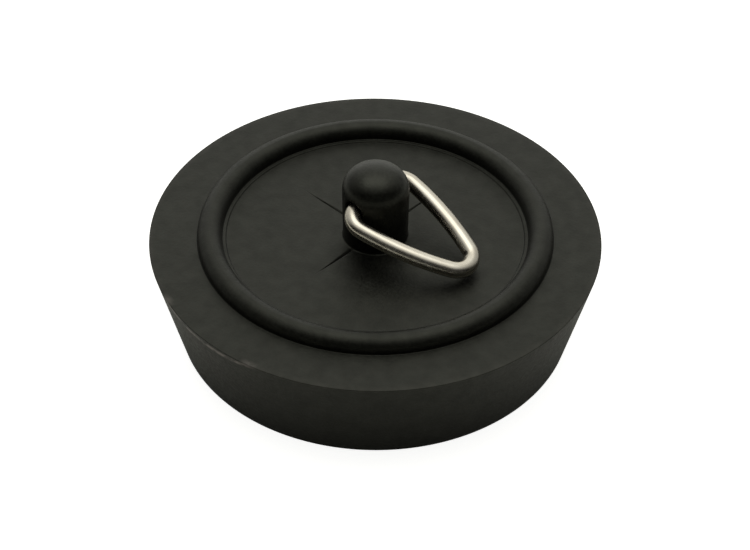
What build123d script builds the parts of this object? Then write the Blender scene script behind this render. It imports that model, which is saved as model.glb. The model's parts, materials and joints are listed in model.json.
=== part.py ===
from build123d import *
import math
import os

# Rubber sink plug with a wire pull triangle, in millimetres, +Z up.
# The origin is the centre of the underside, where the plug stands on a flat surface.
# The triangle's hinge runs along Y through the post, and its apex points to +X at rest.

# --- rubber disc -------------------------------------------------------------------------
RIM_RADIUS = 25.4             # widest part, the top edge of the tapered side
BASE_RADIUS = 22.55           # underside, just over the radius of a 1 3/4 inch outlet
RIM_HEIGHT = 11.75            # underside to the flat rim
EDGE_ROUND = 0.06             # on the trimmed top and bottom edges
RECESS_RADIUS = 15.0          # shallow hollow in the underside
RECESS_DEPTH = 1.2
RECESS_DRAFT = 0.6            # how far the hollow's wall leans outward over its depth
RECESS_ROUND = 0.4

# --- raised ring, ledge and floor ----------------------------------------------------------
BEAD_OUTER = 20.0
BEAD_INNER = 17.2
BEAD_HEIGHT = 1.6
BEAD_CREST_ROUND = 1.39
BEAD_FOOT_ROUND = 0.12
LEDGE_RADIUS = 16.85          # inner edge of the narrow ledge inside the ring
FLOOR_STEP = 0.15             # the floor lies this far below the rim
STEP_SLOPE = 0.12             # width of the slope from the ledge down to the floor
STEP_TOP_ROUND = 0.1
STEP_FOOT_ROUND = 0.05

# --- post ----------------------------------------------------------------------------------
POST_BASE_RADIUS = 3.65       # the post widens very slightly upward
POST_SHOULDER_RADIUS = 3.76
POST_FOOT_ROUND = 0.2
SHOULDER_HEIGHT = 7.5         # above the rim, where side and dome would meet without the round
CROWN_HEIGHT = 9.15           # top of the dome above the rim
SHOULDER_ROUND = 2.6

# --- cross-hole and wire triangle ----------------------------------------------------------
WIRE_RADIUS = 0.915
HINGE_ABOVE_RIM = 5.1         # the wire's straight base, which lies low in the hole
HINGE_BEHIND = 0.56           # wire and hole lie this far behind the post's axis, towards -X
HOLE_RADIUS = 1.2
HOLE_LIFT = 0.17              # the hole's axis is this far above the wire's
HOLE_LIP_ROUND = 0.15
TRIANGLE_REACH = 13.5         # hinge axis to the wire's centre line at the apex
BASE_HALF = 3.05              # half of the straight base, through the post
CORNER_RADIUS = 2.0           # centre-line radii of the bends
APEX_RADIUS = 2.2
LEG_BOW_RADIUS = 31.0         # the legs bow outward slightly
BUTT_GAP = 0.4                # between the wire's two ends, inside the post
END_CHAMFER = 0.1
REST_TILT = 16.9              # degrees that the apex hangs below level at rest

# --- witness lines of the mould insert -------------------------------------------------------
MARK_TURN = -9.0              # degrees between the first line and +X
MARK_REACHES = (9.0, 10.0, 11.0, 9.0)  # radius where each line fades out
MARK_WIDTH = 0.55             # at the post
MARK_DEPTH = 0.18

FLOOR_HEIGHT = RIM_HEIGHT - FLOOR_STEP
HINGE_HEIGHT = RIM_HEIGHT + HINGE_ABOVE_RIM
HOLE_HEIGHT = HINGE_HEIGHT + HOLE_LIFT


def body_section():
    """Half section of the rubber body, in the XZ plane, from the underside to the crown."""
    bead_top = RIM_HEIGHT + BEAD_HEIGHT
    shoulder = (POST_SHOULDER_RADIUS, RIM_HEIGHT + SHOULDER_HEIGHT)
    crown = (0, RIM_HEIGHT + CROWN_HEIGHT)
    corners = [
        ((0, RECESS_DEPTH), None),
        ((RECESS_RADIUS - RECESS_DRAFT, RECESS_DEPTH), RECESS_ROUND),
        ((RECESS_RADIUS, 0), RECESS_ROUND),
        ((BASE_RADIUS, 0), EDGE_ROUND),
        ((RIM_RADIUS, RIM_HEIGHT), EDGE_ROUND),
        ((BEAD_OUTER, RIM_HEIGHT), BEAD_FOOT_ROUND),
        ((BEAD_OUTER, bead_top), BEAD_CREST_ROUND),
        ((BEAD_INNER, bead_top), BEAD_CREST_ROUND),
        ((BEAD_INNER, RIM_HEIGHT), BEAD_FOOT_ROUND),
        ((LEDGE_RADIUS, RIM_HEIGHT), STEP_TOP_ROUND),
        ((LEDGE_RADIUS - STEP_SLOPE, FLOOR_HEIGHT), STEP_FOOT_ROUND),
        ((POST_BASE_RADIUS, FLOOR_HEIGHT), POST_FOOT_ROUND),
        (shoulder, None),
    ]
    radii = [radius for point, radius in corners if radius]
    outline = FilletPolyline(*[point for point, radius in corners], radius=radii)
    rise = CROWN_HEIGHT - SHOULDER_HEIGHT
    dome_radius = (POST_SHOULDER_RADIUS**2 + rise**2) / (2 * rise)
    dome = RadiusArc(shoulder, crown, -dome_radius)
    axis_line = Line(crown, (0, RECESS_DEPTH))
    section = make_face(outline + dome + axis_line)
    rim_of_crown = section.vertices().sort_by_distance(shoulder)[0]
    return Plane.XZ * fillet(rim_of_crown, SHOULDER_ROUND)


def witness_line(angle, reach):
    """A fine wedge-shaped groove in the floor, running out from the foot of the post."""
    start = POST_BASE_RADIUS + POST_FOOT_ROUND
    wedge = Polygon((start, MARK_WIDTH / 2), (start, -MARK_WIDTH / 2), (reach, 0), align=None)
    groove = extrude(Pos(0, 0, FLOOR_HEIGHT - MARK_DEPTH) * wedge, 2 * MARK_DEPTH)
    return Rot(0, 0, angle) * groove


def at_hole_mouth(edge):
    """Whether an edge is one of the two rims where the cross-hole opens on the post's side."""
    centre = edge.center(CenterOf.MASS)
    return abs(centre.Y) > POST_BASE_RADIUS / 2 and abs(centre.Z - HOLE_HEIGHT) < HOLE_RADIUS


def plug_body():
    """Tapered disc, raised ring and post, one rubber moulding with a cross-hole."""
    body = revolve(body_section(), Axis.Z)
    for quarter, reach in enumerate(MARK_REACHES):
        body -= witness_line(MARK_TURN + 90 * quarter, reach)
    bar = Cylinder(HOLE_RADIUS, 3 * POST_BASE_RADIUS)
    body -= Pos(-HINGE_BEHIND, 0, HOLE_HEIGHT) * Rot(90, 0, 0) * bar
    return fillet(body.edges().filter_by(at_hole_mouth), HOLE_LIP_ROUND)


def triangle_path():
    """Centre line of the wire: base, two corners, two bowed legs and the apex, all tangent.

    Local x runs along the hinge and local y towards the apex.
    """
    corner = Vector(BASE_HALF, CORNER_RADIUS)
    apex = Vector(0, TRIANGLE_REACH - APEX_RADIUS)
    # The bow's centre is inside-tangent to both end arcs, on the far side of the loop.
    to_corner = LEG_BOW_RADIUS - CORNER_RADIUS
    to_apex = LEG_BOW_RADIUS - APEX_RADIUS
    span = (apex - corner).length
    along = (to_corner**2 - to_apex**2 + span**2) / (2 * span)
    aside = math.sqrt(to_corner**2 - along**2)
    direction = (apex - corner).normalized()
    bow = corner + direction * along + Vector(-direction.Y, direction.X) * aside
    leg_start = bow + (corner - bow).normalized() * LEG_BOW_RADIUS
    leg_end = bow + (apex - bow).normalized() * LEG_BOW_RADIUS

    half = (
        Line((BUTT_GAP / 2, 0), (BASE_HALF, 0))
        + RadiusArc((BASE_HALF, 0), leg_start, -CORNER_RADIUS)
        + RadiusArc(leg_start, leg_end, -LEG_BOW_RADIUS)
        + RadiusArc(leg_end, (0, TRIANGLE_REACH), -APEX_RADIUS)
    )
    return half + mirror(half, Plane.YZ)


def pull_triangle():
    """One bent wire, tilted to its rest position about the hinge."""
    tilt = math.radians(REST_TILT)
    plane = Plane(
        origin=(-HINGE_BEHIND, 0, HINGE_HEIGHT),
        x_dir=(0, 1, 0),
        z_dir=(-math.sin(tilt), 0, -math.cos(tilt)),
    )
    path = Wire((plane * triangle_path()).edges())
    start = path.position_at(0)
    section = Plane(origin=start, z_dir=path.tangent_at(0)) * Circle(WIRE_RADIUS)
    wire = sweep(section, path)
    ends = wire.faces().filter_by(GeomType.PLANE)
    return chamfer(ends.edges(), END_CHAMFER)


os.makedirs("parts", exist_ok=True)
export_step(plug_body(), "parts/plug_body.step")
export_step(pull_triangle(), "parts/pull_triangle.step")
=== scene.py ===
import json
import math

import bmesh
import bpy
from mathutils import Matrix, Vector


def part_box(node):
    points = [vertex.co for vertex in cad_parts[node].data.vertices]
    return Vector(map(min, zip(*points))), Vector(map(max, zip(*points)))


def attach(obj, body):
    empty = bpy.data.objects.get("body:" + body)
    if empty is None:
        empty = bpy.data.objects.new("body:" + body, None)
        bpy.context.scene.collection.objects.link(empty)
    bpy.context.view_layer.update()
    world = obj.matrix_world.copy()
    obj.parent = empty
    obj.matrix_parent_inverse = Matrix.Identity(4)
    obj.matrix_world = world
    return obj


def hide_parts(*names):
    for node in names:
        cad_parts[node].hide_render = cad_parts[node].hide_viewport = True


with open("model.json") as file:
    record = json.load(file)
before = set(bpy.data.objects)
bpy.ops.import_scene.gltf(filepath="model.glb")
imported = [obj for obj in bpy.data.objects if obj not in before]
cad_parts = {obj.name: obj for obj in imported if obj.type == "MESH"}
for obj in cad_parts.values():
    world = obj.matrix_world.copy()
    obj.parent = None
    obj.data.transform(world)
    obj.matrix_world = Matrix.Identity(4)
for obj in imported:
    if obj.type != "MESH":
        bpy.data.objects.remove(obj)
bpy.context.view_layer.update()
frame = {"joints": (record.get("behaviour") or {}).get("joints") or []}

# Looks of a rubber sink plug: the moulded rubber body and its nickel-plated wire triangle.
# Lengths are metres, written as millimetres times MM.

MM = 0.001

# --- rubber body, the same section as the CAD body ------------------------------------------
RIM_RADIUS = 25.4 * MM
BASE_RADIUS = 22.55 * MM
RIM_HEIGHT = 11.75 * MM
EDGE_ROUND = 0.06 * MM
RECESS_RADIUS = 15.0 * MM
RECESS_DEPTH = 1.2 * MM
RECESS_DRAFT = 0.6 * MM
RECESS_ROUND = 0.4 * MM
BEAD_OUTER = 20.0 * MM
BEAD_INNER = 17.2 * MM
BEAD_HEIGHT = 1.6 * MM
BEAD_CREST_ROUND = 1.39 * MM
BEAD_FOOT_ROUND = 0.12 * MM
LEDGE_RADIUS = 16.85 * MM
FLOOR_STEP = 0.15 * MM
STEP_SLOPE = 0.12 * MM
STEP_TOP_ROUND = 0.1 * MM
STEP_FOOT_ROUND = 0.05 * MM
POST_BASE_RADIUS = 3.65 * MM
POST_SHOULDER_RADIUS = 3.76 * MM
POST_FOOT_ROUND = 0.2 * MM
SHOULDER_HEIGHT = 7.5 * MM
SHOULDER_ROUND = 2.6 * MM
FLOOR_HEIGHT = RIM_HEIGHT - FLOOR_STEP
SHOULDER_TOP = RIM_HEIGHT + SHOULDER_HEIGHT
CROWN_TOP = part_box("plug_body")[1].z

# --- cross-hole and witness lines -------------------------------------------------------------
HINGE = Vector(frame["joints"][0]["pos_m"])
HOLE_RADIUS = 1.2 * MM
HOLE_LIFT = 0.17 * MM
HOLE_LIP_ROUND = 0.15 * MM
MARK_TURN = math.radians(-9.0)
MARK_REACHES = (9.0 * MM, 10.0 * MM, 11.0 * MM, 9.0 * MM)
MARK_WIDTH = 0.55 * MM
MARK_TIP_WIDTH = 0.1 * MM     # a line narrows from its full width to this
MARK_DEPTH = 0.18 * MM
MARK_TAIL = 1 / 3             # share of its length over which a line grows shallow
MARK_START = POST_BASE_RADIUS + POST_FOOT_ROUND
MARK_UNDER_FOOT = 0.9         # a line runs in under the foot's rounding, to this share of its start

# --- wire triangle ------------------------------------------------------------------------------
WIRE_RADIUS = 0.915 * MM
TRIANGLE_REACH = 13.5 * MM
BASE_HALF = 3.05 * MM
CORNER_RADIUS = 2.0 * MM
APEX_RADIUS = 2.2 * MM
LEG_BOW_RADIUS = 31.0 * MM
BUTT_GAP = 0.4 * MM
REST_TILT = math.radians(16.9)

# --- fineness of the meshes -----------------------------------------------------------------------
SECTION_STEP = 0.8 * MM       # longest step along the body's section
ARC_STEPS = 6                 # round each small radius
CROWN_STEPS = 10              # round the shoulder, and again over the dome
TURN_STEPS = 320              # round the body
MARK_TURN_STEP = math.radians(0.25)    # finer turns across each witness line
MARK_TURN_STEPS = 12          # on each side of a line
LEAST_TURN = math.radians(0.1)         # turns closer together than this are merged
HOLE_STEPS = 96               # round the cross-hole
LIP_STEPS = 10                # over its rounded lip
CUTTER_OVERSHOOT = 1.2 * MM   # how far the hole's cutter stands out of the post
WIRE_STEP = 0.12 * MM         # along the wire
WIRE_SIDES = 40               # round the wire
ON_AXIS = 1e-7                # a radius below this is the axis itself
ON_FLOOR = 0.02 * MM          # a height this near the floor belongs to it

# --- camera ---------------------------------------------------------------------------------------
CAMERA_AZIMUTH = math.radians(34.0)
CAMERA_ELEVATION = math.radians(40.14)
CAMERA_ROLL = math.radians(0.53)
CAMERA_DISTANCE = 228.6 * MM
CAMERA_LENS = 97.5            # millimetres on the 36 mm sensor
AIM_NEARER = 7.23 * MM        # the camera aims this far in front of the plug's axis

# --- floor -----------------------------------------------------------------------------------------
FLOOR_HALF = 3.0              # half of its width
FLOOR_ROUGHNESS = 0.9
FLOOR_COLOUR = (0.85, 0.85, 0.8, 1)
FLOOR_LIFT = 0.85             # brightness that only camera rays see, for a white page

# --- light -----------------------------------------------------------------------------------------
TENT_ELEVATION = math.radians(45)
TENT_EDGE = -0.03             # cosines from the tent's brightest direction
TENT_HEART = 0.62
TENT_DIM = 0.025              # brightness beyond the edge, and within the heart
TENT_BRIGHT = 0.9
TENT_TINT = (1.0, 1.0, 0.95)
TENT_FLANK = 0.45             # share of the light left towards the sides
FLANK_START = 0.2             # sideways cosines between which it falls to that
FLANK_END = 0.8
PANEL_TURN = math.radians(180)         # from the camera's side round to the panel's
PANEL_ELEVATION = math.radians(80)
PANEL_DISTANCE = 0.6
PANEL_WIDTH = 0.5
PANEL_HEIGHT = 0.35
PANEL_RADIANCE = 0.8

# --- rubber's surface ------------------------------------------------------------------------------
NOISE_LOW = 0.3               # nearly all of a noise lies between these two
NOISE_HIGH = 0.7
GRAIN_SIZE = 0.35 * MM
GRAIN_HEIGHT = 0.02 * MM
MOTTLE_SIZE = 1.6 * MM
CLOUD_SIZE = 9 * MM
MOTTLE_SHARE = 0.6            # of the tone; the cloud makes up the rest
GRAIN_SHARE = 0.5             # of the sheen; the mottle makes up the rest
DARK_RUBBER = (0.0015, 0.0015, 0.0012, 1)
PALE_RUBBER = (0.004, 0.004, 0.0033, 1)
RUBBER_TINT = (0.98, 1.0, 0.84, 1)     # of its reflections
SHINY_RUBBER = 0.38           # roughness
DULL_RUBBER = 0.54
SHEEN_LOW = 0.38              # the noise values that get the least and the most sheen
SHEEN_HIGH = 0.62
LEAST_SHEEN = 0.34            # specular level
MOST_SHEEN = 0.46
CROWN_ROUGHNESS = 0.75        # of the handled crown, against the rest of the rubber
POLISH_START = RIM_HEIGHT + 5.2 * MM   # the polish of handling grows from here up the post
POLISH_END = RIM_HEIGHT + 8.2 * MM

# --- scuffs along the rim's edge --------------------------------------------------------------------
WORN_RUBBER = (0.2, 0.175, 0.165, 1)
SCUFF_TURN = math.radians(-103)        # from +X round the plug to the middle of the long scuff
SCUFF_HALF_ANGLE = math.radians(18)
SCUFF_SLIP = 0.7 * MM         # how far the long scuff strays below the rim's edge
SCUFF_CORE = 0.12 * MM        # fully worn this near its line
SCUFF_REACH = 0.38 * MM       # and not at all beyond this
SCUFF_INNER = RIM_RADIUS - 0.8 * MM    # the wear grows between these radii
SCUFF_OUTER = RIM_RADIUS - 0.3 * MM
SCUFF_PATCH = 1.2 * MM        # size of the breaks in it
BREAK_LOW = 0.36              # the noise values where it is broken and where it is whole
BREAK_HIGH = 0.56
SCUFF_FULL = 0.6              # the wear is strongest where its stretch has risen this far
FAINT_WEAR = 0.05             # all round the rim
STRONG_WEAR = 0.95            # on the long scuff

# --- nickel's surface -------------------------------------------------------------------------------
DRAW_LINE_SIZE = 0.12 * MM
DRAW_LINE_STRETCH = 0.04      # lengthwise squeeze of the noise, which draws it out into lines
DRAW_LINE_HEIGHT = 0.0015 * MM
NICKEL_PATCH = 1.5 * MM
DRAW_LINE_SHARE = 0.5         # of the roughness; the patches make up the rest
PATCH_LOW = 0.35              # the noise values at the ends of its colour and roughness
PATCH_HIGH = 0.65
DARK_NICKEL = (0.7, 0.645, 0.545, 1)
PALE_NICKEL = (0.78, 0.735, 0.64, 1)
SHINY_NICKEL = 0.22           # roughness
DULL_NICKEL = 0.33


# ================================ shape helpers ===================================================

def arc_points(start, corner, end, radius, steps):
    """The rounded corner between two straight runs, as points in the section plane."""
    a = (start - corner).normalized()
    b = (end - corner).normalized()
    half = a.angle(b) / 2
    reach = radius / math.tan(half)
    centre = corner + (a + b).normalized() * (radius / math.sin(half))
    first = corner + a * reach - centre
    last = corner + b * reach - centre
    sweep = first.angle_signed(last)
    turned = [Matrix.Rotation(-sweep * i / steps, 2) @ first for i in range(steps + 1)]
    return [centre + p for p in turned]


def plane_arc(centre, radius, start_angle, end_angle, steps):
    """Points on an arc in a plane, both ends included."""
    angles = [start_angle + (end_angle - start_angle) * i / steps for i in range(steps + 1)]
    return [centre + radius * Vector((math.cos(a), math.sin(a))) for a in angles]


def even_run(points, spacing):
    """The same polyline with long runs divided, so that no step is longer than spacing."""
    dense = [points[0]]
    for a, b in zip(points, points[1:]):
        count = max(1, math.ceil((b - a).length / spacing))
        dense += [a.lerp(b, i / count) for i in range(1, count + 1)]
    return dense


def skin_rings(bm, rings):
    """Faces over a run of rings with equally many vertices, and over its two ends."""
    for lower, upper in zip(rings, rings[1:]):
        for i in range(len(lower)):
            j = (i + 1) % len(lower)
            bm.faces.new((lower[i], lower[j], upper[j], upper[i]))
    bm.faces.new(rings[0])
    bm.faces.new(rings[-1])
    bmesh.ops.recalc_face_normals(bm, faces=bm.faces)


def new_piece(name, bm, body, slot, material, *nodes):
    """A smooth-shaded mesh that rides on a body and stands for the CAD nodes."""
    mesh = bpy.data.meshes.new(name)
    bm.to_mesh(mesh)
    bm.free()
    mesh.shade_smooth()
    piece = bpy.data.objects.new(name, mesh)
    bpy.context.scene.collection.objects.link(piece)
    mesh.materials.append(material)
    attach(piece, body)
    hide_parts(*nodes)
    return piece


# ================================ rubber body =====================================================

def body_section():
    """Half section from the centre of the underside to the top of the crown, as (r, z) points."""
    bead_top = RIM_HEIGHT + BEAD_HEIGHT
    corners = [
        (0, RECESS_DEPTH, 0),
        (RECESS_RADIUS - RECESS_DRAFT, RECESS_DEPTH, RECESS_ROUND),
        (RECESS_RADIUS, 0, RECESS_ROUND),
        (BASE_RADIUS, 0, EDGE_ROUND),
        (RIM_RADIUS, RIM_HEIGHT, EDGE_ROUND),
        (BEAD_OUTER, RIM_HEIGHT, BEAD_FOOT_ROUND),
        (BEAD_OUTER, bead_top, BEAD_CREST_ROUND),
        (BEAD_INNER, bead_top, BEAD_CREST_ROUND),
        (BEAD_INNER, RIM_HEIGHT, BEAD_FOOT_ROUND),
        (LEDGE_RADIUS, RIM_HEIGHT, STEP_TOP_ROUND),
        (LEDGE_RADIUS - STEP_SLOPE, FLOOR_HEIGHT, STEP_FOOT_ROUND),
        (POST_BASE_RADIUS, FLOOR_HEIGHT, POST_FOOT_ROUND),
        (POST_SHOULDER_RADIUS, SHOULDER_TOP, 0),
    ]
    places = [Vector(c[:2]) for c in corners]
    points = [places[0]]
    for before, place, after, corner in zip(places, places[1:], places[2:], corners[1:]):
        points += arc_points(before, place, after, corner[2], ARC_STEPS)
    return even_run(points, SECTION_STEP) + crown_section(places[-2], places[-1])


def crown_section(foot, shoulder):
    """The post's rounded shoulder and shallow dome, from the straight side to the axis."""
    rise = CROWN_TOP - SHOULDER_TOP
    dome_radius = (POST_SHOULDER_RADIUS**2 + rise**2) / (2 * rise)
    dome_centre = Vector((0, CROWN_TOP - dome_radius))
    side = (shoulder - foot).normalized()
    inward = Vector((-side.y, side.x))
    # The round's centre is one radius in from the side and inside-tangent to the dome.
    start = shoulder + inward * SHOULDER_ROUND
    gap = start - dome_centre
    reach = dome_radius - SHOULDER_ROUND
    along = gap.dot(side)
    slide = -along + math.sqrt(along**2 - gap.length_squared + reach**2)
    centre = start + side * slide
    low_angle = math.atan2(-inward.y, -inward.x)
    top = centre - dome_centre
    high_angle = math.atan2(top.y, top.x)
    shoulder_arc = plane_arc(centre, SHOULDER_ROUND, low_angle, high_angle, CROWN_STEPS)
    wall = even_run([foot, shoulder_arc[0]], SECTION_STEP / 2)
    dome = plane_arc(dome_centre, dome_radius, high_angle, math.pi / 2, CROWN_STEPS)
    return wall[1:] + shoulder_arc + dome[1:]


def turn_angles():
    """Angles round the body: an even division, and finer steps across the witness lines."""
    even = [math.tau * i / TURN_STEPS for i in range(TURN_STEPS)]
    fine = [
        (MARK_TURN + math.pi / 2 * quarter + MARK_TURN_STEP * step) % math.tau
        for quarter in range(len(MARK_REACHES))
        for step in range(-MARK_TURN_STEPS, MARK_TURN_STEPS + 1)
    ]
    kept = []
    for angle in sorted(even + fine):
        if not kept or angle - kept[-1] > LEAST_TURN:
            kept.append(angle)
    return kept


def mark_depth(radius, angle):
    """How deep the nearest witness line cuts the floor at this place."""
    quarter, off = divmod(angle - MARK_TURN + math.pi / 4, math.pi / 2)
    reach = MARK_REACHES[int(quarter) % len(MARK_REACHES)]
    if not MARK_START * MARK_UNDER_FOOT < radius < reach:
        return 0.0
    fade = (reach - radius) / (reach - MARK_START)
    half_width = max(MARK_WIDTH * fade, MARK_TIP_WIDTH) / 2
    aside = abs(math.sin(off - math.pi / 4)) * radius
    return MARK_DEPTH * min(1.0, fade / MARK_TAIL) * max(0.0, 1 - aside / half_width)


def lathe_ring(bm, radius, height, angles):
    """One turn of the body's surface, with the witness lines cut where it lies on the floor."""
    if radius < ON_AXIS:
        return [bm.verts.new((0, 0, height))]
    on_floor = abs(height - FLOOR_HEIGHT) < ON_FLOOR
    ring = []
    for angle in angles:
        drop = mark_depth(radius, angle) if on_floor else 0.0
        place = (radius * math.cos(angle), radius * math.sin(angle), height - drop)
        ring.append(bm.verts.new(place))
    return ring


def lathe(section, angles):
    """A closed surface turned from the section, with one vertex at each pole."""
    bm = bmesh.new()
    rings = [lathe_ring(bm, radius, height, angles) for radius, height in section]
    count = len(angles)
    for lower, upper in zip(rings, rings[1:]):
        for i in range(count):
            j = (i + 1) % count
            below = [lower[i % len(lower)], lower[j % len(lower)]]
            above = [upper[j % len(upper)], upper[i % len(upper)]]
            corners = dict.fromkeys(below + above)     # three of them beside a pole, not four
            bm.faces.new(list(corners))
    return bm


def mouth_ring(bm, side, radius, sink):
    """A ring of the hole's cutter, this far inside the post's round side."""
    ring = []
    for i in range(HOLE_STEPS):
        angle = math.tau * i / HOLE_STEPS
        x = HINGE.x + radius * math.cos(angle)
        z = HINGE.z + HOLE_LIFT + radius * math.sin(angle)
        share = (z - FLOOR_HEIGHT) / (SHOULDER_TOP - FLOOR_HEIGHT)
        post = POST_BASE_RADIUS + (POST_SHOULDER_RADIUS - POST_BASE_RADIUS) * share
        y = math.sqrt(post**2 - x**2) - sink
        ring.append(bm.verts.new((x, side * y, z)))
    return ring


def hole_cutter():
    """A bar the shape of the cross-hole, flared at both ends to round the rubber lips."""
    bm = bmesh.new()
    flare = [math.pi / 2 * i / LIP_STEPS for i in range(LIP_STEPS + 1)]
    shapes = [
        (HOLE_RADIUS + HOLE_LIP_ROUND * (1 - math.cos(t)), HOLE_LIP_ROUND * (1 - math.sin(t)))
        for t in flare
    ]
    shapes.append((HOLE_RADIUS + HOLE_LIP_ROUND, -CUTTER_OVERSHOOT))
    near = [mouth_ring(bm, -1, radius, sink) for radius, sink in shapes]
    far = [mouth_ring(bm, 1, radius, sink) for radius, sink in shapes]
    skin_rings(bm, near[::-1] + far)
    return bm


def cut(piece, cutter_bm):
    """Cuts the cutter's shape out of the piece's mesh."""
    mesh = bpy.data.meshes.new("cutter")
    cutter_bm.to_mesh(mesh)
    cutter_bm.free()
    cutter = bpy.data.objects.new("cutter", mesh)
    bpy.context.scene.collection.objects.link(cutter)
    boolean = piece.modifiers.new("hole", "BOOLEAN")
    boolean.object = cutter
    boolean.operation = "DIFFERENCE"
    boolean.solver = "EXACT"
    bpy.context.view_layer.update()
    evaluated = piece.evaluated_get(bpy.context.evaluated_depsgraph_get())
    result = bpy.data.meshes.new_from_object(evaluated)
    piece.modifiers.clear()
    piece.data = result
    bpy.data.objects.remove(cutter)


def make_body(material):
    """The rubber moulding, turned from its section, with the cross-hole cut through its post."""
    bm = lathe(body_section(), turn_angles())
    bmesh.ops.recalc_face_normals(bm, faces=bm.faces)
    body = new_piece("rubber_body", bm, "plug", "black_rubber", material, "plug_body")
    cut(body, hole_cutter())
    return body


# ================================ wire triangle ===================================================

def arc_between(centre, radius, start_angle, end_angle):
    """Points a wire step apart on an arc, in the triangle's own plane, without its first point."""
    count = max(2, math.ceil(abs(end_angle - start_angle) * radius / WIRE_STEP))
    return plane_arc(centre, radius, start_angle, end_angle, count)[1:]


def heading(vector):
    """The vector's angle in its plane."""
    return math.atan2(vector.y, vector.x)


def half_triangle():
    """Centre line of one half of the wire: base, corner, bowed leg and half of the apex."""
    corner = Vector((BASE_HALF, CORNER_RADIUS))
    apex = Vector((0, TRIANGLE_REACH - APEX_RADIUS))
    to_corner = LEG_BOW_RADIUS - CORNER_RADIUS
    to_apex = LEG_BOW_RADIUS - APEX_RADIUS
    span = apex - corner
    along = (to_corner**2 - to_apex**2 + span.length_squared) / (2 * span.length)
    aside = math.sqrt(to_corner**2 - along**2)
    direction = span.normalized()
    bow = corner + direction * along + Vector((-direction.y, direction.x)) * aside
    leg_start = heading(corner - bow)
    leg_end = heading(apex - bow)
    start = Vector((BUTT_GAP / 2, 0))
    points = even_run([start, Vector((BASE_HALF, 0))], WIRE_STEP)
    points += arc_between(corner, CORNER_RADIUS, -math.pi / 2, leg_start)
    points += arc_between(bow, LEG_BOW_RADIUS, leg_start, leg_end)
    points += arc_between(apex, APEX_RADIUS, leg_end, math.pi / 2)
    return points


def wire_ring(bm, place, centre, out, normal, run):
    """A ring of vertices round the wire, each with its place as if the wire were straight."""
    ring = []
    for k in range(WIRE_SIDES):
        angle = math.tau * k / WIRE_SIDES
        across = WIRE_RADIUS * math.cos(angle)
        above = WIRE_RADIUS * math.sin(angle)
        vertex = bm.verts.new(centre + across * out + above * normal)
        vertex[place] = (run, across, above)
        ring.append(vertex)
    return ring


def make_triangle(material):
    """A round wire swept along the triangle, with its two cut ends inside the post."""
    half = half_triangle()
    flat = half + [Vector((-p.x, p.y)) for p in reversed(half[:-1])]
    hinge_line = Vector((0, 1, 0))
    slope = Vector((math.cos(REST_TILT), 0, -math.sin(REST_TILT)))
    normal = hinge_line.cross(slope)
    bm = bmesh.new()
    place = bm.verts.layers.float_vector.new("wire_place")
    rings = []
    run = 0.0
    for before, p, after in zip([flat[0]] + flat, flat, flat[1:] + [flat[-1]]):
        run += (p - before).length
        ahead = (after - before).normalized()
        out = hinge_line * ahead.y - slope * ahead.x
        centre = HINGE + hinge_line * p.x + slope * p.y
        rings.append(wire_ring(bm, place, centre, out, normal, run))
    skin_rings(bm, rings)
    return new_piece("wire_triangle", bm, "triangle", "nickel_wire", material, "pull_triangle")


# ================================ materials =======================================================

class Nodes:
    """A node tree, filled by short calls. A socket given as a value is linked."""

    def __init__(self, tree):
        self.tree = tree

    def feed(self, socket, value):
        if isinstance(value, bpy.types.NodeSocket):
            self.tree.links.new(value, socket)
        else:
            socket.default_value = value

    def add(self, kind, **inputs):
        node = self.tree.nodes.new(kind)
        for name, value in inputs.items():
            self.feed(node.inputs[name.replace("_", " ")], value)
        return node

    def maths(self, operation, a, b=0.0):
        node = self.tree.nodes.new("ShaderNodeMath")
        node.operation = operation
        self.feed(node.inputs[0], a)
        self.feed(node.inputs[1], b)
        return node.outputs[0]

    def vector(self, operation, a, b=(0, 0, 0)):
        """Vector arithmetic; its result is at "Vector" or at "Value", as the operation has it."""
        node = self.tree.nodes.new("ShaderNodeVectorMath")
        node.operation = operation
        self.feed(node.inputs[0], a)
        self.feed(node.inputs[1], b)
        return node.outputs

    def remap(self, value, low, high, to_low=0.0, to_high=1.0, kind="LINEAR"):
        """The value carried from one range to another, and held at its ends."""
        node = self.add("ShaderNodeMapRange", Value=value, From_Min=low, From_Max=high)
        node.interpolation_type = kind
        node.inputs["To Min"].default_value = to_low
        node.inputs["To Max"].default_value = to_high
        return node.outputs["Result"]

    def noise(self, place, size, detail):
        """Soft noise between about 0.3 and 0.7, with features of the given size."""
        node = self.add("ShaderNodeTexNoise", Vector=place, Scale=1 / size, Detail=detail)
        return node.outputs["Fac"]

    def mean(self, a, b, share_of_a):
        """A weighted mean of two values."""
        first = self.maths("MULTIPLY", a, share_of_a)
        return self.maths("ADD", first, self.maths("MULTIPLY", b, 1 - share_of_a))

    def blend(self, share, a, b):
        """A colour between a and b."""
        node = self.tree.nodes.new("ShaderNodeMix")
        node.data_type = "RGBA"
        colours = [socket for socket in node.inputs if socket.type == "RGBA"]
        self.feed(node.inputs["Factor"], share)
        self.feed(colours[0], a)
        self.feed(colours[1], b)
        return next(socket for socket in node.outputs if socket.type == "RGBA")


class Shading(Nodes):
    """One material's nodes round its shader."""

    def __init__(self, name):
        self.material = bpy.data.materials.new(name)
        self.material.use_nodes = True
        super().__init__(self.material.node_tree)
        self.shader = self.tree.nodes["Principled BSDF"]

    def set(self, name, value):
        """Sets or feeds one of the shader's own sockets."""
        self.feed(self.shader.inputs[name], value)

    def bump(self, height, depth):
        node = self.add("ShaderNodeBump", Height=height, Distance=depth, Strength=1.0)
        self.set("Normal", node.outputs["Normal"])


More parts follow.
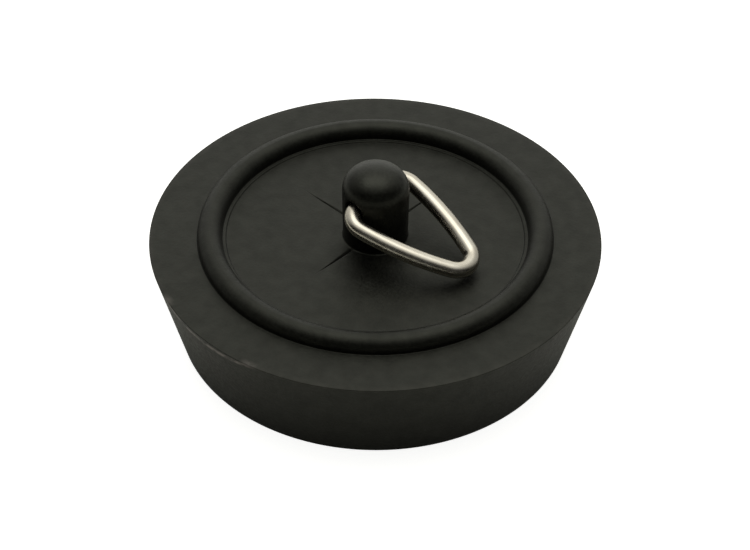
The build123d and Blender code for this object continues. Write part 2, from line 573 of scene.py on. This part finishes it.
def stretch(rubber, level, turn, half_angle):
    """1 on one stretch of the way round the plug, fading to 0 at its ends.

    Level is the place's horizontal direction, and turn is counted from the plug's own +X.
    """
    middle = (math.cos(turn), math.sin(turn), 0)
    towards = rubber.vector("DOT_PRODUCT", level, middle)["Value"]
    return rubber.remap(towards, math.cos(half_angle), math.cos(half_angle / 3))


def scuffed_edge(rubber, place, radius, height, level):
    """Pale scuffs along the rim's edge: faint ones all round, and one long one."""
    long_scuff = stretch(rubber, level, SCUFF_TURN, SCUFF_HALF_ANGLE)
    below = rubber.maths("SUBTRACT", RIM_HEIGHT, height)
    slip = rubber.maths("MULTIPLY", long_scuff, SCUFF_SLIP)
    off_line = rubber.maths("ABSOLUTE", rubber.maths("SUBTRACT", below, slip))
    on_line = rubber.remap(off_line, SCUFF_CORE, SCUFF_REACH, 1.0, 0.0)
    on_edge = rubber.remap(radius, SCUFF_INNER, SCUFF_OUTER)
    line = rubber.maths("MULTIPLY", on_edge, on_line)
    broken = rubber.remap(rubber.noise(place, SCUFF_PATCH, detail=4), BREAK_LOW, BREAK_HIGH)
    strength = rubber.remap(long_scuff, 0.0, SCUFF_FULL, FAINT_WEAR, STRONG_WEAR)
    return rubber.maths("MULTIPLY", rubber.maths("MULTIPLY", line, broken), strength)


def rubber_material():
    """Black moulded rubber: a fine satin grain, uneven tone, pale wear and a handled crown."""
    rubber = Shading("moulded_black_rubber")
    place = rubber.add("ShaderNodeTexCoord").outputs["Object"]
    flat = rubber.vector("MULTIPLY", place, (1, 1, 0))["Vector"]
    radius = rubber.vector("LENGTH", flat)["Value"]
    level = rubber.vector("NORMALIZE", flat)["Vector"]
    height = rubber.add("ShaderNodeSeparateXYZ", Vector=place).outputs["Z"]
    grain = rubber.noise(place, GRAIN_SIZE, detail=4)
    mottle = rubber.noise(place, MOTTLE_SIZE, detail=4)
    cloud = rubber.noise(place, CLOUD_SIZE, detail=2)

    tone = rubber.remap(rubber.mean(mottle, cloud, MOTTLE_SHARE), NOISE_LOW, NOISE_HIGH)
    wear = scuffed_edge(rubber, place, radius, height, level)
    clean = rubber.blend(tone, DARK_RUBBER, PALE_RUBBER)
    rubber.set("Base Color", rubber.blend(wear, clean, WORN_RUBBER))

    rough = rubber.remap(grain, NOISE_LOW, NOISE_HIGH, SHINY_RUBBER, DULL_RUBBER)
    handled = rubber.remap(height, POLISH_START, POLISH_END, 1.0, CROWN_ROUGHNESS)
    rubber.set("Roughness", rubber.maths("MULTIPLY", rough, handled))
    uneven = rubber.mean(grain, mottle, GRAIN_SHARE)
    sheen = rubber.remap(uneven, SHEEN_LOW, SHEEN_HIGH, LEAST_SHEEN, MOST_SHEEN)
    rubber.set("Specular IOR Level", sheen)
    rubber.set("Specular Tint", RUBBER_TINT)
    rubber.bump(grain, GRAIN_HEIGHT)
    return rubber.material


def nickel_material():
    """Bright nickel plate over drawn wire: fine lines along its length and soft scuffs."""
    nickel = Shading("nickel_plated_wire")
    place = nickel.add("ShaderNodeAttribute")
    place.attribute_name = "wire_place"
    along_wire = (DRAW_LINE_STRETCH, 1, 1)
    drawn = nickel.vector("MULTIPLY", place.outputs["Vector"], along_wire)["Vector"]
    lines = nickel.noise(drawn, DRAW_LINE_SIZE, detail=3)
    patch = nickel.noise(place.outputs["Vector"], NICKEL_PATCH, detail=3)
    tone = nickel.remap(patch, PATCH_LOW, PATCH_HIGH)
    nickel.set("Base Color", nickel.blend(tone, DARK_NICKEL, PALE_NICKEL))
    nickel.set("Metallic", 1)
    wear = nickel.mean(lines, patch, DRAW_LINE_SHARE)
    rough = nickel.remap(wear, PATCH_LOW, PATCH_HIGH, SHINY_NICKEL, DULL_NICKEL)
    nickel.set("Roughness", rough)
    nickel.bump(lines, DRAW_LINE_HEIGHT)
    return nickel.material


def paper_material():
    """The pale floor, one plain colour, with the white of a page for camera rays only."""
    paper = Shading("pale_floor")
    paper.set("Base Color", FLOOR_COLOUR)
    paper.set("Roughness", FLOOR_ROUGHNESS)
    paper.set("Specular IOR Level", 0.0)
    paper.set("Emission Color", (1, 1, 1, 1))
    seen = paper.add("ShaderNodeLightPath").outputs["Is Camera Ray"]
    paper.set("Emission Strength", paper.maths("MULTIPLY", seen, FLOOR_LIFT))
    return paper.material


# ================================ stage ===========================================================

def make_floor():
    """The plain floor that the plug stands on, which is not part of the object."""
    bm = bmesh.new()
    bmesh.ops.create_grid(bm, x_segments=1, y_segments=1, size=FLOOR_HALF)
    mesh = bpy.data.meshes.new("pale_floor")
    bm.to_mesh(mesh)
    bm.free()
    floor = bpy.data.objects.new("pale_floor", mesh)
    bpy.context.scene.collection.objects.link(floor)
    mesh.materials.append(paper_material())


def camera_direction(azimuth, elevation):
    """From the plug towards the camera; azimuth 0 looks along +Y."""
    level = math.cos(elevation)
    return Vector((math.sin(azimuth) * level, -math.cos(azimuth) * level, math.sin(elevation)))


def make_camera():
    """Looks down at the plug, with the wire's apex to the right."""
    data = bpy.data.cameras.new("camera")
    data.lens = CAMERA_LENS
    data.clip_start = 1 * MM
    camera = bpy.data.objects.new("camera", data)
    bpy.context.scene.collection.objects.link(camera)
    centre = Vector((0, 0, RIM_HEIGHT))
    nearer = camera_direction(CAMERA_AZIMUTH, 0)
    aim = centre + nearer * AIM_NEARER
    camera.location = centre + camera_direction(CAMERA_AZIMUTH, CAMERA_ELEVATION) * CAMERA_DISTANCE
    facing = (aim - camera.location).to_track_quat("-Z", "Y")
    camera.rotation_mode = "QUATERNION"
    camera.rotation_quaternion = facing @ Matrix.Rotation(CAMERA_ROLL, 3, "Z").to_quaternion()
    bpy.context.scene.camera = camera


def make_panel():
    """A flat panel of even light over the plug, on the side away from the camera."""
    data = bpy.data.lights.new("overhead", "AREA")
    data.shape = "RECTANGLE"
    data.size = PANEL_WIDTH
    data.size_y = PANEL_HEIGHT
    data.energy = math.pi * PANEL_RADIANCE * PANEL_WIDTH * PANEL_HEIGHT
    data.color = TENT_TINT
    light = bpy.data.objects.new("overhead", data)
    bpy.context.scene.collection.objects.link(light)
    aim = Vector((0, 0, RIM_HEIGHT))
    direction = camera_direction(CAMERA_AZIMUTH + PANEL_TURN, PANEL_ELEVATION)
    light.location = aim + direction * PANEL_DISTANCE
    light.rotation_mode = "QUATERNION"
    light.rotation_quaternion = (aim - light.location).to_track_quat("-Z", "Y")
    light.visible_camera = False


def tent_strength(sky):
    """The tent's brightness in each direction: full overhead and behind, less at the sides."""
    direction = sky.add("ShaderNodeTexCoord").outputs["Generated"]
    heart = camera_direction(CAMERA_AZIMUTH + math.pi, TENT_ELEVATION)
    towards = sky.vector("DOT_PRODUCT", direction, heart)["Value"]
    bright = sky.remap(towards, TENT_EDGE, TENT_HEART, TENT_DIM, TENT_BRIGHT, "SMOOTHSTEP")
    right = camera_direction(CAMERA_AZIMUTH + math.pi / 2, 0)
    sideways = sky.maths("ABSOLUTE", sky.vector("DOT_PRODUCT", direction, right)["Value"])
    kept = sky.remap(sideways, FLANK_START, FLANK_END, 1.0, TENT_FLANK, "SMOOTHSTEP")
    return sky.maths("MULTIPLY", bright, kept)


def make_tent():
    """A light tent all round the plug, dim on the camera's side."""
    world = bpy.data.worlds.new("studio")
    world.use_nodes = True
    sky = Nodes(world.node_tree)
    background = sky.tree.nodes["Background"]
    sky.feed(background.inputs["Color"], (*TENT_TINT, 1))
    sky.feed(background.inputs["Strength"], tent_strength(sky))
    bpy.context.scene.world = world


make_camera()
make_floor()
make_panel()
make_tent()
bpy.context.scene.view_settings.view_transform = "Standard"
make_body(rubber_material())
make_triangle(nickel_material())
